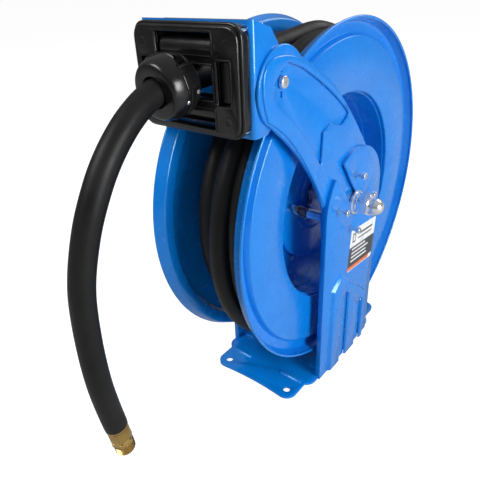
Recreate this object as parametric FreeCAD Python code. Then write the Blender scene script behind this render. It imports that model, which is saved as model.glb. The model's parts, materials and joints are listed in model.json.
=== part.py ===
"""Spring-rewind hose reel on a twin-stand frame: one STEP file per piece.

Millimetres. +X is the reel's axis, towards the dome nut; -Y is the front, where the hose
comes out; +Z is up. The origin is the centre of the base plate's underside.
Pieces fall in three groups: the frame that stands still, the reel that turns in it, and
the hose end that hangs from the roller guide.
"""
import FreeCAD, Part

import math
import os

V = FreeCAD.Vector
X_AXIS, Y_AXIS, Z_AXIS = V(1, 0, 0), V(0, 1, 0), V(0, 0, 1)

# ---------------------------------------------------------------- driving dimensions
shaft_z = 300.0            # height of the reel's axis
shaft_r = 10.0             # M20 main shaft
disc_r = 260.0             # reel flange, over the rolled rim
disc_hole_r = 160.5        # inside of the flange's turned-in hole
disc_sheet = 1.5
disc_face_x = 69.0         # outer face of the flat annulus
disc_groove_x = 60.0       # outer face of the sunk ring near the rim
disc_rim_x = 74.0          # centre of the rolled rim
drum_r = 160.5             # outside of the drum tube
drum_wall = 2.0
hose_od = 29.0             # 19 mm (3/4 in) bore rubber hose
hose_bore = 19.0
layer_r = [162.3, 191.0, 219.5, 249.0]     # hose layers wound on the drum
stand_x = 92.3             # outer face of a stand
stand_sheet = 3.0
stand_half = 86.0          # half width, and the radius of its round top
arm_x = 84.3               # outer face of a guide arm
arm_sheet = 4.0
base_t = 4.0
guide_z = 516.0            # middle of the roller guide
guide_face_y = -249.0      # front face of the roller frame
guide_web_y = -231.0       # front face of the guide bracket's web
guide_top_z, guide_low_z = 575.0, 457.0    # upper and lower edges of the bracket
web_t = 3.0
bracket_x = arm_x - arm_sheet              # the bracket fits between the arms
cage_open_z = (467.5, 564.5)               # lower and upper ends of the guide's opening
roller_y = -230.0          # axes of the four guide rollers
roller_r, side_roller_r = 15.5, 13.0
roller_half, side_roller_half = 37.5, 21.0
roller_z = 31.5            # upper and lower roller axes, above and below the guide's middle
roller_x = 51.2            # side roller axes
roller_pin_r = 3.0
fit_gap = 0.05             # radial running clearance of a turning fit

base_hole_x, base_hole_y, base_hole_r = 61.6, 140.2, 6.0
foot_bolt_x, foot_bolt_y = 75.0, 45.0
slot_turn = 39.0           # the shaft slot rises to the front at this angle from upright
slot_width = 2 * shaft_r + 1.0
hub_bolt_places = [(-8, 348), (34, 303), (-56, 307), (-12, 260)]   # (y, z) round the shaft
guide_screw_places = [(-185, 510)]
screw_hole_r = 3.2         # clearance hole for M6

swivel_x = -66.0           # the shaft's cross drilling
swivel_out_x = -47.0       # the swivel's side outlet and the hose's inner end
web_r = drum_r - drum_wall
ratchet_r, ratchet_x0, ratchet_x1 = 44.0, 33.0, 38.0
pawl_pivot = (-68.0, 297.0)
pawl_r = 4.0

lead_r = 236.0             # centreline of the outermost, leading turn of hose
lead_x = 1.0
lead_points = [            # hose centreline from the top of the reel to its free end
    (1.0, -60.0, 530.0), (1.0, -150.0, 521.8), (1.0, -205.0, 517.6), (1.0, -246.0, 517.1),
    (0.0, -292.0, 513.6), (5.0, -334.0, 496.0), (7.0, -372.0, 462.0), (5.0, -396.0, 422.0),
    (1.0, -408.0, 390.0), (-3.0, -421.0, 343.0), (-5.0, -425.0, 296.0), (-5.0, -427.0, 241.0),
    (-5.0, -425.0, 187.0), (-4.0, -418.5, 136.0)]
ball_gap = 23.5            # from the guide's last route point to the stop ball's middle


# ---------------------------------------------------------------- small helpers
def box(low, high):
    """Block between two opposite corners."""
    low, high = V(*low), V(*high)
    size = high - low
    return Part.makeBox(size.x, size.y, size.z, low)


def rod(radius, start, end):
    """Round bar from one point to another."""
    start, end = V(*start), V(*end)
    return Part.makeCylinder(radius, (end - start).Length, start, end - start)


def hub(radius, x0, x1, y=0.0, z=shaft_z):
    """Round bar along X."""
    return rod(radius, (x0, y, z), (x1, y, z))


def ring(r_in, r_out, x0, x1, y=0.0, z=shaft_z):
    """Tube along X."""
    return hub(r_out, x0, x1, y, z).cut(hub(r_in, x0 - 1, x1 + 1, y, z))


def hexagon(across, start, end):
    """Hexagonal bar from one point to another."""
    start, end = V(*start), V(*end)
    direction = (end - start).normalize()
    side = direction.cross(Y_AXIS if abs(direction.y) < 0.9 else Z_AXIS).normalize()
    up = direction.cross(side)
    corner = across / math.sqrt(3)
    points = [start + side * (corner * math.cos(math.pi * k / 3))
              + up * (corner * math.sin(math.pi * k / 3)) for k in range(7)]
    face = Part.Face(Part.makePolygon(points))
    return face.extrude(end - start)


def outline(place, start, *steps):
    """Closed outline: a step is a point, or (middle, end) of an arc. place maps 2D to 3D."""
    edges, here = [], place(*start)
    for step in steps + (start,):
        if isinstance(step[0], tuple):
            middle, end = place(*step[0]), place(*step[1])
            edges.append(Part.Arc(here, middle, end).toShape())
        else:
            end = place(*step)
            if (end - here).Length < 1e-6:
                continue
            edges.append(Part.LineSegment(here, end).toShape())
        here = end
    return Part.Face(Part.Wire(edges))


def yz_plate(x0, x1, start, *steps):
    """Plate of constant thickness between two X planes, its outline given in (y, z)."""
    face = outline(lambda y, z: V(x0, y, z), start, *steps)
    return face.extrude(V(x1 - x0, 0, 0))


def turned(points):
    """Solid of revolution about the reel's axis from (x, r) points."""
    wire = Part.makePolygon([V(x, 0, shaft_z + r) for x, r in points + points[:1]])
    return Part.Face(wire).revolve(V(0, 0, shaft_z), X_AXIS, 360)


def mirrored(shape):
    """The same piece on the other side of the reel."""
    return shape.mirror(V(0, 0, 0), X_AXIS)


def solids(shape):
    """A node holding several separate solids."""
    return Part.makeCompound(shape)


def fused(first, *others):
    """One clean solid."""
    return first.fuse(list(others)).removeSplitter()


def softened(shape, radius, wanted):
    """Round the edges that the test picks."""
    edges = [edge for edge in shape.Edges if wanted(edge)]
    return shape.makeFillet(radius, edges)


def lies_at_x(x):
    """Test for edges that lie wholly in one X plane."""
    return lambda edge: abs(edge.BoundBox.XMin - x) < 1e-4 and abs(edge.BoundBox.XMax - x) < 1e-4


def pressed_field(points, x0, depth, slope):
    """Raised field of a pressing: its outline in (y, z) at x0, drawn in by slope at the top."""
    foot = Part.Face(Part.makePolygon([V(x0, y, z) for y, z in points + points[:1]]))
    top = foot.makeOffset2D(-slope)
    top.translate(V(depth, 0, 0))
    return Part.makeLoft([foot.OuterWire, top.OuterWire], True)


def bolt(direction_x, start_x, length, radius, head_across, head, y, z):
    """Hex bolt along X: its head lies outside start_x, on the side direction_x points to."""
    tip = start_x - direction_x * length
    shank = rod(radius, (start_x, y, z), (tip, y, z))
    cap = hexagon(head_across, (start_x, y, z), (start_x + direction_x * head, y, z))
    return fused(cap, shank)


# ---------------------------------------------------------------- frame: base and stands
def base_plate():
    """Flat base with a pair of ears, front and back, that carry the mounting holes."""
    side, ear, neck_y, ear_y, end_y = 89.3, 79.0, 98.0, 112.0, 158.0
    corner, dip = 18.0, 3.5
    half = [(side, neck_y), ((87.0, 104.0), (ear, ear_y)), (ear, end_y - corner),
            ((ear - 0.29 * corner, end_y - 0.29 * corner), (ear - corner, end_y)),
            ((0.0, end_y - dip), (-(ear - corner), end_y)),
            ((-(ear - 0.29 * corner), end_y - 0.29 * corner), (-ear, end_y - corner)),
            (-ear, ear_y), ((-87.0, 104.0), (-side, neck_y))]

    def flipped(step):
        if isinstance(step[0], tuple):
            return tuple((-x, -y) for x, y in step)
        return (-step[0], -step[1])

    steps = half[1:] + [flipped(step) for step in half]
    plate = outline(lambda x, y: V(x, y, 0), half[0], *steps).extrude(V(0, 0, base_t))
    for x in (-base_hole_x, base_hole_x):
        for y in (-base_hole_y, base_hole_y):
            plate = plate.cut(rod(base_hole_r, (x, y, -1), (x, y, base_t + 1)))
    bead_r, bead_y, bead_in, bead_out = 5.0, 112.0, 32.0, 74.0
    for x in (-bead_out, bead_in):
        for y in (-bead_y, bead_y):
            bead = rod(bead_r, (x, y, base_t - 2.5), (x + bead_out - bead_in, y, base_t - 2.5))
            plate = plate.fuse(bead.common(box((-90, -170, 0), (90, 170, 20))))
    for x in (-foot_bolt_x, foot_bolt_x):
        for y in (-foot_bolt_y, foot_bolt_y):
            plate = plate.cut(rod(4.2, (x, y, -1), (x, y, base_t + 1)))
    return plate.removeSplitter()


def stand_right():
    """Pressed stand: flat sheet with a turned-in edge, a ribbed foot and an open shaft slot."""
    back, half, top = stand_x - 8.0, stand_half, shaft_z
    lip = stand_sheet

    def blank(x0, x1, inset):
        width = half - inset
        return yz_plate(x0, x1, (-width, 0), (-width, top),
                        ((0, top + width), (width, top)), (width, 0))

    shell = blank(back, stand_x, 0).cut(blank(back - 1, stand_x - lip, lip))
    field = [(-60, -20), (-60, 166), (-32, 186), (66, 102), (66, -20)]
    shell = shell.fuse(pressed_field(field, stand_x, 4.5, 4.0))
    hollow = pressed_field(field, stand_x, 4.5, 4.0)
    hollow.translate(V(-stand_sheet, 0, 0))
    shell = shell.cut(hollow)
    for y0, y1, z1 in ((-24, -6, 142), (32, 50, 98)):
        groove = [(y0, -30), (y0, z1 - 9), (0.5 * (y0 + y1), z1), (y1, z1 - 9), (y1, -30)]
        tool = pressed_field(groove, stand_x, 4.5, -3.0)
        shell = shell.cut(tool)
        liner = pressed_field(groove, stand_x - stand_sheet, 4.5, -3.0)
        shell = shell.fuse(liner.common(box((back, -80, 0), (stand_x, 80, 200))))
    shell = shell.cut(box((0, -200, -60), (200, 200, 0)))
    shell = shell.cut(box((back - 1, -100, -1), (stand_x - lip, 100, base_t)))
    foot = box((62, -70, base_t), (stand_x - lip, 70, base_t + lip))
    for y in (-foot_bolt_y, foot_bolt_y):
        foot = foot.cut(rod(4.2, (foot_bolt_x, y, 0), (foot_bolt_x, y, 20)))
    shell = fused(shell, foot)
    slot = box((back - 1, -0.5 * slot_width, 0), (stand_x + 9, 0.5 * slot_width, 120))
    slot = slot.fuse(hub(0.5 * slot_width, back - 1, stand_x + 9, 0, 0))
    mouth = yz_plate(back - 1, stand_x + 9, (-0.5 * slot_width, 40), (-0.5 * slot_width - 6, 120),
                     (0.5 * slot_width + 4, 120), (0.5 * slot_width, 40))
    slot = slot.fuse(mouth)
    slot.rotate(V(0, 0, 0), X_AXIS, slot_turn)
    slot.translate(V(0, 0, shaft_z))
    shell = shell.cut(slot)
    for y, z in hub_bolt_places:
        shell = shell.cut(hub(screw_hole_r, back - 1, stand_x + 9, y, z))
    return shell.removeSplitter()


# ---------------------------------------------------------------- frame: guide arms, bracket
def guide_arm_right():
    """Arm from the shaft up to the roller guide, with a sunk panel and a round nose."""
    x0, x1 = arm_x - arm_sheet, arm_x
    arm = yz_plate(x0, x1, (82, 316), ((24, 397), (-67, 486)),
                   ((-104, 509), (-148, 532)),
                   ((-217, 533), (-216, 471)),
                   ((-150, 415), (-82, 316)), ((0, 216.5), (82, 316)))
    panel = yz_plate(x1 - 2.0, x1 + 1, (-177, 530), ((-204, 507), (-190, 482)),
                     ((-142, 440), (-96, 384)), (-93, 432), (-73, 438), (-45, 428), (-24, 440),
                     ((-80, 482), (-147, 520)))
    arm = softened(arm, 2.0, lies_at_x(x1)).cut(panel)
    arm = arm.cut(hub(shaft_r + 0.5, x0 - 1, x1 + 1))
    for y, z in hub_bolt_places:
        arm = arm.cut(hub(screw_hole_r, x0 - 1, x1 + 1, y, z))
    for y, z in guide_screw_places:
        arm = arm.cut(hub(4.2, x0 - 1, x1 + 1, y, z))
    for turn in (90, 180, 270):
        groove = box((x0 - 1, -2.2, 10.0), (x1 + 1, 2.2, 17.0))
        groove.rotate(V(0, 0, 0), X_AXIS, turn - 90)
        groove.translate(V(0, guide_screw_places[0][0], guide_screw_places[0][1]))
        arm = arm.cut(groove)
    pawl_y, pawl_z = pawl_pivot
    return arm.cut(hub(4.2, x0 - 1, x1 + 1, pawl_y, pawl_z)).removeSplitter()


def guide_bracket():
    """Bent channel behind the roller frame: a web facing forward and two flaps to the arms."""
    back_y, bend_r = guide_web_y + web_t, 5.5
    web = box((-bracket_x, guide_web_y, guide_low_z), (bracket_x, back_y, guide_top_z))
    low, high = cage_open_z
    web = web.cut(box((-67, guide_web_y - 1, low - 1), (67, back_y + 1, high + 1)))
    flaps = []
    for x0 in (-bracket_x, bracket_x - web_t):
        flap = yz_plate(x0, x0 + web_t, (back_y, guide_low_z), (-208, guide_low_z), (-197, 467),
                        (-160, 485), (-152, 500), (-160, 530), (-186, 548), (-200, 566),
                        (back_y, guide_top_z))
        y, z = guide_screw_places[0]
        flaps.append(flap.cut(hub(4.2, x0 - 1, x0 + web_t + 1, y, z)))
    for x in (-72, 72):
        for z in (guide_z - 50, guide_z + 50):
            web = web.cut(rod(2.6, (x, guide_web_y - 1, z), (x, back_y + 1, z)))
    channel = fused(web, *flaps)
    return softened(channel, bend_r, lambda e: abs(e.CenterOfMass.y - guide_web_y) < 0.01
                    and abs(abs(e.CenterOfMass.x) - bracket_x) < 0.01)


def cross_opening(y0, y1, grow=0.0):
    """The four roller spaces and the passage between them, as one cutting tool."""
    half_x, half_z = roller_half + 0.5 + grow, side_roller_half + 0.5 + grow
    tall = box((-half_x, y0, cage_open_z[0]), (half_x, y1, cage_open_z[1]))
    wide = box((-roller_x - side_roller_r - 1, y0, guide_z - half_z),
               (roller_x + side_roller_r + 1, y1, guide_z + half_z))
    return tall.fuse(wide)


def rounded_slab(half_x, half_z, radius, y0, y1):
    """Upright slab with rounded corners, seen from the front."""
    slab = box((-half_x, y0, guide_z - half_z), (half_x, y1, guide_z + half_z))
    return softened(slab, radius, lambda e: abs(e.BoundBox.YLength - (y1 - y0)) < 1e-4)


def roller_frame():
    """Moulded front frame: a stepped rim, four windows over the rollers, a middle passage."""
    rim_y = guide_face_y + 9.0
    rim = rounded_slab(79.0, 59.5, 19.0, rim_y, guide_web_y)
    face = rounded_slab(74.0, 54.5, 15.0, guide_face_y, rim_y)
    face = softened(face, 2.5, lambda e: abs(e.BoundBox.YMax - guide_face_y) < 1e-4)
    body = rim.fuse(face)
    body = body.cut(rounded_slab(70.5, 51.0, 12.0, guide_face_y + 3.4, guide_web_y + 1))
    for z0, z1 in ((guide_z + 27, guide_z + 48.5), (guide_z - 48.5, guide_z - 27)):
        body = body.cut(box((-41, guide_face_y - 1, z0), (41, guide_face_y + 5, z1)))
    for x0, x1 in ((46, 64), (-64, -46)):
        body = body.cut(box((x0, guide_face_y - 1, guide_z - 22), (x1, guide_face_y + 5, guide_z + 22)))
    body = body.cut(box((-40, guide_face_y - 1, guide_z - 17), (40, guide_face_y + 5, guide_z + 17)))
    for x in (-72, 72):
        for dz in (-50, 50):
            post = rod(5.5, (x * 0.93, guide_face_y + 3, guide_z + dz * 0.93),
                       (x * 0.93, guide_web_y, guide_z + dz * 0.93))
            body = body.fuse(post.common(rim.fuse(face)))
            body = body.cut(rod(2.0, (x, guide_web_y - 8, guide_z + dz),
                                (x, guide_web_y + 1, guide_z + dz)))
    return body.removeSplitter()


def roller_cage():
    """Rear half of the guide: a plate behind the bracket with four corner blocks for the pins."""
    plate_y0, plate_y1 = -213.5, -209.0
    plate = rounded_slab(77.0, 57.5, 16.0, plate_y0, plate_y1)
    for sx in (-1, 1):
        for sz in (-1, 1):
            low = (sx * (roller_half + 1.0), roller_y - 8.0, guide_z + sz * (side_roller_half + 1.5))
            high = (sx * 60.0, plate_y0, guide_z + sz * 43.0)
            corners = [tuple(sorted(pair)) for pair in zip(low, high)]
            block = box([c[0] for c in corners], [c[1] for c in corners])
            boss = rod(5.0, (sx * 72, guide_web_y + web_t, guide_z + sz * 50),
                       (sx * 72, plate_y0, guide_z + sz * 50))
            plate = plate.fuse([block, boss])
    plate = plate.cut(cross_opening(plate_y0 - 1.5, plate_y1 + 1))
    for pin in roller_pins().Solids:
        plate = plate.cut(pin)
    for sx in (-1, 1):
        for sz in (-1, 1):
            plate = plate.cut(rod(2.6, (sx * 72, guide_web_y, guide_z + sz * 50),
                                  (sx * 72, plate_y1 + 1, guide_z + sz * 50)))
    return plate.removeSplitter()


def roller_pins():
    """Four steel pins that the guide rollers turn on."""
    pins = []
    for side in (-1, 1):
        z, x = guide_z + side * roller_z, side * roller_x
        pins.append(rod(roller_pin_r, (-47, roller_y, z), (47, roller_y, z)))
        pins.append(rod(roller_pin_r, (x, roller_y, guide_z - 27), (x, roller_y, guide_z + 27)))
    return solids(pins)


def roller(start, end, radius):
    """Guide roller: a plain barrel with rounded ends, bored for its pin."""
    body = rod(radius, start, end)
    ends = [e for e in body.Edges if e.Closed and e.Curve.TypeId == "Part::GeomCircle"]
    return body.makeFillet(1.2, ends).cut(rod(roller_pin_r + fit_gap, start, end))


def cage_screws():
    """Four screws from the rear cage through the bracket into the front frame."""
    made = []
    for sx in (-1, 1):
        for sz in (-1, 1):
            x, z = sx * 72, guide_z + sz * 50
            head = rod(4.5, (x, -209, z), (x, -205.5, z))
            head = head.cut(hexagon(3.0, (x, -207.5, z), (x, -205, z)))
            made.append(fused(head, rod(2.0, (x, guide_web_y - 7.5, z), (x, -209, z))))
    return solids(made)


def guide_screws(side):
    """Pan-head screw that clamps a bracket flap to its arm, with its nut inside."""
    made = []
    for y, z in guide_screw_places:
        outer = arm_x
        head = hub(7.0, outer, outer + 4.5, y, z)
        head = softened(head, 2.0, lies_at_x(outer + 4.5))
        head = head.cut(hexagon(4.0, (outer + 2, y, z), (outer + 6, y, z)))
        inner = bracket_x - web_t
        screw = fused(head, hub(4.0, inner - 9, outer, y, z))
        nut = hexagon(13.0, (inner - 6.5, y, z), (inner, y, z)).cut(hub(4.0, inner - 8, inner + 1, y, z))
        made += [screw, nut]
    shape = solids(made)
    return shape if side > 0 else mirrored(shape)


# ---------------------------------------------------------------- frame: shaft and hardware
def main_shaft():
    """Fixed shaft: bored for the fluid from its left end to the swivel, threaded both ends."""
    shaft = hub(shaft_r, -128, 128)
    shaft = shaft.cut(hub(6.0, -130, -60))
    shaft = shaft.cut(rod(4.0, (swivel_x, 0, shaft_z - 12), (swivel_x, 0, shaft_z + 12)))
    return shaft.makeChamfer(1.0, [edge for edge in shaft.Edges if lies_at_x(128)(edge)])


def flat_washers(side):
    """Flat washer and spring washer under a shaft nut."""
    flat = ring(shaft_r + 0.3, 19.0, stand_x, stand_x + 3.0)
    spring = ring(shaft_r + 0.3, 16.5, stand_x + 3.0, stand_x + 7.0)
    shape = solids([flat, spring])
    return shape if side > 0 else mirrored(shape)


def dome_nut():
    """M20 dome nut, 30 mm across flats, with a chamfered hexagon and a round cap."""
    x0, hex_t, cap_r, cap_t = stand_x + 7.0, 19.0, 13.2, 6.5
    nut = hexagon(30.0, (x0, 0, shaft_z), (x0 + hex_t, 0, shaft_z))
    cone = turned([(x0 - 1, 0), (x0 - 1, 14.2), (x0 + 3, 18.0), (x0 + 15.5, 18.0),
                   (x0 + hex_t, 15.0), (x0 + hex_t + 1, 13.6), (x0 + hex_t + 1, 0)])
    ball_x = x0 + hex_t + cap_t
    ball = Part.makeSphere(cap_r, V(ball_x, 0, shaft_z)).common(hub(20, ball_x, ball_x + 12))
    nut = fused(nut.common(cone), hub(cap_r, x0 + hex_t, ball_x), ball)
    return nut.cut(hub(shaft_r, x0 - 1, 128)).cut(hub(8.5, x0, 130))


def shaft_nut_left():
    """Thin M20 lock nut on the inlet side."""
    x0 = -(stand_x + 7.0)
    nut = hexagon(30.0, (x0 - 10, 0, shaft_z), (x0, 0, shaft_z))
    return nut.cut(hub(shaft_r, x0 - 11, x0 + 1))


def hub_screws_right():
    """Four long M6 socket-head screws that stand off the stand, with nuts on both sheets."""
    made, head_x, head_t, nut_x = [], 104.0, 6.0, bracket_x - 5
    for y, z in hub_bolt_places:
        head = softened(hub(4.9, head_x, head_x + head_t, y, z), 0.8, lies_at_x(head_x + head_t))
        head = head.cut(hexagon(5.0, (head_x + 2.5, y, z), (head_x + 7, y, z)))
        made.append(fused(head, hub(3.0, 72, head_x, y, z)))
        nut = hexagon(10.0, (nut_x, y, z), (bracket_x, y, z))
        made.append(nut.cut(hub(3.0, nut_x - 1, bracket_x + 1, y, z)))
    return solids(made)


def hub_screws_left():
    """Four M6 hex bolts that clamp the left arm to its stand, with their nuts."""
    made = []
    for y, z in hub_bolt_places:
        made.append(bolt(-1, -stand_x, 20.5, 3.0, 10.0, 4.0, y, z))
        nut = hexagon(10.0, (-bracket_x, y, z), (-bracket_x + 5, y, z))
        made.append(nut.cut(hub(3.0, -bracket_x - 1, -bracket_x + 6, y, z)))
    return solids(made)


def hub_spacers(side):
    """Sleeves that fill the gap between stand and arm round the hub screws."""
    made = [ring(3.2, 6.0, arm_x, stand_x - stand_sheet, y, z) for y, z in hub_bolt_places]
    made.append(ring(shaft_r + 0.3, 17.0, arm_x, stand_x - stand_sheet))
    shape = solids(made)
    return shape if side > 0 else mirrored(shape)


def foot_bolts():
    """Four M8 bolts and nuts that hold the stands' feet to the base plate."""
    made, top = [], base_t + stand_sheet
    for x in (-foot_bolt_x, foot_bolt_x):
        for y in (-foot_bolt_y, foot_bolt_y):
            made.append(fused(hexagon(13.0, (x, y, top), (x, y, top + 5.3)),
                              rod(4.0, (x, y, 0.0), (x, y, top))))
    return solids(made)


def inlet_elbow():
    """Brass inlet elbow screwed on the shaft's left end, its socket facing back."""
    mid_x = -126.5
    body = softened(hub(17.0, -142.0, -111.0), 4.0, lies_at_x(-142.0))
    arm = rod(14.5, (mid_x, 0, shaft_z), (mid_x, 34, shaft_z))
    collar = hexagon(38.0, (mid_x, 30, shaft_z), (mid_x, 46, shaft_z))
    elbow = fused(body, arm, collar).cut(hub(shaft_r, -128, -109))
    elbow = elbow.cut(rod(12.3, (mid_x, 26, shaft_z), (mid_x, 47, shaft_z)))
    return elbow.cut(rod(6.0, (-134, 0, shaft_z), (-134, 14, shaft_z)).fuse(
        [hub(6.0, -134, -127), rod(6.0, (-134, 0, shaft_z), (mid_x, 27, shaft_z))]))


def label_plate():
    """Thin data label on the right stand, set a little askew."""
    plate = box((stand_x, -45, -37.5), (stand_x + 0.4, 45, 37.5))
    plate.rotate(V(0, 0, 0), X_AXIS, -6.0)
    plate.translate(V(0, 37.0, 209.0))
    return plate


# ---------------------------------------------------------------- frame: pawl on its bolt
def pawl_bolt():
    """Shouldered bolt from the right arm into the drum; the pawl turns on its end."""
    y, z = pawl_pivot
    head = hexagon(13.0, (arm_x, y, z), (arm_x + 4.5, y, z))
    pin = hub(pawl_r, ratchet_x0 - 5.0, arm_x, y, z)
    collar = ring(pawl_r, 7.5, ratchet_x1 + 14.0, bracket_x, y, z)
    tip = hub(7.0, ratchet_x0 - 5.0, ratchet_x0 - 0.4, y, z)
    return fused(head, pin, collar, tip)


def pawl():
    """Spring-loaded catch: a hub on the bolt, a beak over the ratchet and a spring tail."""
    y, z = pawl_pivot
    body = ring(pawl_r + fit_gap, 8.0, ratchet_x0, ratchet_x1, y, z)
    beak = yz_plate(ratchet_x0, ratchet_x1, (y - 3, z - 7), (y + 13, z - 19), (y + 23.0, z - 22),
                    (y + 25.0, z - 17), (y + 14, z - 8), (y + 6, z - 3), (y - 4, z + 2))
    tail = yz_plate(ratchet_x0, ratchet_x1, (y - 6, z - 3), (y - 20, z + 12), (y - 16, z + 16),
                    (y - 1, z + 6))
    bore = hub(pawl_r + fit_gap, ratchet_x0 - 1, ratchet_x1 + 1, y, z)
    return fused(body, beak.cut(bore), tail.cut(bore))


def pawl_spring():
    """Torsion spring on the pawl's bolt: four close coils."""
    y, z = pawl_pivot
    coils = [Part.makeTorus(6.2, 0.9, V(ratchet_x1 + 2.2 + 2.0 * k, y, z), X_AXIS) for k in range(5)]
    return solids(coils)


# ---------------------------------------------------------------- reel: discs, drum, webs
def disc_right():
    """Pressed reel flange: turned-in hole, flat annulus, sunk ring and rolled rim."""
    t = disc_sheet
    face, groove, rim = disc_face_x, disc_groove_x, disc_rim_x
    hole = disc_hole_r
    # Outer surface from the hole outwards, then back along the inner surface.
    outer = [(57.0, hole), (face - 1.5, hole), (face, hole + 1.8), (face, 223.0),
             (face - 1.0, 225.0), (groove + 0.6, 227.0), (groove, 229.0), (groove, 250.0),
             (groove + 2.0, 253.0), (rim - 1.5, disc_r - 3.0)]
    inner = [(rim - 2.7, disc_r - 2.0), (groove + 0.6, 254.2), (groove - t, 250.6),
             (groove - t, 228.4), (groove - 0.4, 226.0), (face - 2.2, 224.0), (face - t, 222.6),
             (face - t, hole + t + 1.0), (face - 2.4, hole + t), (57.0, hole + t)]
    sheet = turned(outer + inner)
    rolled = Part.makeTorus(disc_r - 2.0, 2.0, V(rim, 0, shaft_z), X_AXIS)
    return fused(sheet, rolled)


def drum():
    """Tube that the hose is wound on, with a slot for the hose's inner end."""
    tube = ring(drum_r - drum_wall, drum_r, -62, 62)
    slot = rod(13.2, (swivel_out_x, 0, shaft_z + 140), (swivel_out_x, 0, shaft_z + 170))
    return tube.cut(slot)


def web_right():
    """Dished ring that ties the drum to the spring case."""
    plate = ring(106.0, web_r, 11.0, 13.0)
    flange = ring(web_r - 2.0, web_r, 13.0, 29.0)
    web = fused(plate, flange)
    for y, z in case_bolt_places():
        web = web.cut(hub(3.2, 10, 14, y, z))
    return web


def web_left():
    """Plate that carries the left bush and the fluid swivel."""
    plate = ring(14.0, web_r, -27.0, -24.0)
    flange = ring(web_r - 2.0, web_r, -40.0, -27.0)
    flange = flange.cut(rod(13.6, (swivel_out_x, 0, shaft_z + 140), (swivel_out_x, 0, shaft_z + 170)))
    web = fused(plate, flange)
    for k in range(5):
        turn = 2 * math.pi * k / 5
        web = web.cut(hub(22.0, -28, -23, 92 * math.sin(turn), shaft_z + 92 * math.cos(turn)))
    return web


def case_bolt_places():
    """Six bolts round the spring case's flange."""
    turns = [2 * math.pi * (k + 0.5) / 6 for k in range(6)]
    return [(114.0 * math.sin(t), shaft_z + 114.0 * math.cos(t)) for t in turns]


def spring_case():
    """Can for the rewind spring, open to the right, with a bolted flange."""
    wall = ring(102.0, 104.0, -12.5, 23.5)
    floor = ring(14.0, 102.0, -12.5, -10.0)
    flange = ring(104.0, 122.0, 8.5, 11.0)
    case = fused(wall, floor, flange)
    for y, z in case_bolt_places():
        case = case.cut(hub(3.2, 7, 12, y, z))
    return case


def spring_cover():
    """Pressed lid over the spring case, with a stiffening boss round the shaft."""
    lid = turned([(23.5, 14.0), (23.5, 106.0), (17.0, 106.0), (17.0, 107.5), (24.0, 107.5),
                  (25.5, 106.0), (25.5, 60.0), (28.0, 54.0), (28.0, 14.0)])
    return lid


def case_bolts():
    """Six M6 bolts and nuts between the web and the spring case."""
    made = []
    for y, z in case_bolt_places():
        made.append(bolt(1, 13.0, 11.0, 3.0, 10.0, 4.0, y, z))
        made.append(hexagon(10.0, (3.5, y, z), (8.5, y, z)).cut(hub(3.0, 2, 9, y, z)))
    return solids(made)


def main_spring():
    """Flat rewind spring: a spiral of half circles whose radius grows by half a pitch each."""
    r_in, pitch, turns, strip = 24.0, 5.2, 14, 1.3
    x0, x1 = -8.0, 20.0

    def side(offset):
        edges, radius, here = [], r_in + offset, V(x0, r_in + offset, shaft_z)
        centre, sign = 0.0, 1
        for k in range(2 * turns):
            end = V(x0, centre - sign * radius, shaft_z)
            middle = V(x0, centre, shaft_z + sign * radius)
            edges.append(Part.Arc(here, middle, end).toShape())
            here = end
            radius += 0.5 * pitch
            centre += 0.5 * pitch * sign
            sign = -sign
        return edges, here

    inner, inner_end = side(0.0)
    outer, outer_end = side(strip)
    close = [Part.LineSegment(inner_end, outer_end).toShape(),
             Part.LineSegment(V(x0, r_in + strip, shaft_z), V(x0, r_in, shaft_z)).toShape()]
    wire = Part.Wire(Part.__sortEdges__(inner + outer + close))
    return Part.Face(wire).extrude(V(x1 - x0, 0, 0))


def spring_arbor():
    """Sleeve keyed to the fixed shaft; the spring's inner end hooks into its notch."""
    sleeve = ring(shaft_r, 20.0, -8.0, 20.0)
    return sleeve.cut(box((-9, 15, shaft_z - 2), (21, 21, shaft_z + 2)))


def ratchet_wheel():
    """Twelve-tooth ratchet on the spring cover, with a boss against the lid."""
    teeth, root = 12, ratchet_r - 8.0
    points = []
    for k in range(teeth):
        a0, a1 = 2 * math.pi * k / teeth, 2 * math.pi * (k + 0.86) / teeth
        points.append(V(ratchet_x0, root * math.sin(a0), shaft_z + root * math.cos(a0)))
        points.append(V(ratchet_x0, ratchet_r * math.sin(a1), shaft_z + ratchet_r * math.cos(a1)))
    wheel = Part.Face(Part.makePolygon(points + points[:1])).extrude(V(ratchet_x1 - ratchet_x0, 0, 0))
    wheel = wheel.fuse(hub(27.0, 28.0, ratchet_x0))
    return wheel.cut(hub(14.0, 27, 40)).removeSplitter()


def bush(x0, x1):
    """Bronze bush between the reel and the fixed shaft."""
    return ring(shaft_r + fit_gap, 14.0, x0, x1)


# ---------------------------------------------------------------- reel: fluid path
def swivel_body():
    """Brass manifold that turns on the shaft, with two seal grooves and a side outlet."""
    body = ring(shaft_r + fit_gap, 22.0, -80.0, -36.0)
    body = fused(body, rod(13.0, (swivel_out_x, 0, shaft_z + 12.0), (swivel_out_x, 0, shaft_z + 34.0)))
    body = body.cut(hub(shaft_r + fit_gap, -81, -35))
    body = body.cut(rod(8.0, (swivel_out_x, 0, shaft_z + 5), (swivel_out_x, 0, shaft_z + 35)))
    body = body.cut(ring(shaft_r - 1, 14.0, swivel_x - 5, swivel_out_x + 3))
    for x in (-76.0, -40.0):
        body = body.cut(ring(shaft_r - 1, 12.6, x - 1.4, x + 1.4))
    return body


def swivel_seals():
    """Two O-rings in the swivel's grooves."""
    return solids([Part.makeTorus(11.35, 1.2, V(x, 0, shaft_z), X_AXIS) for x in (-76.0, -40.0)])


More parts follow.
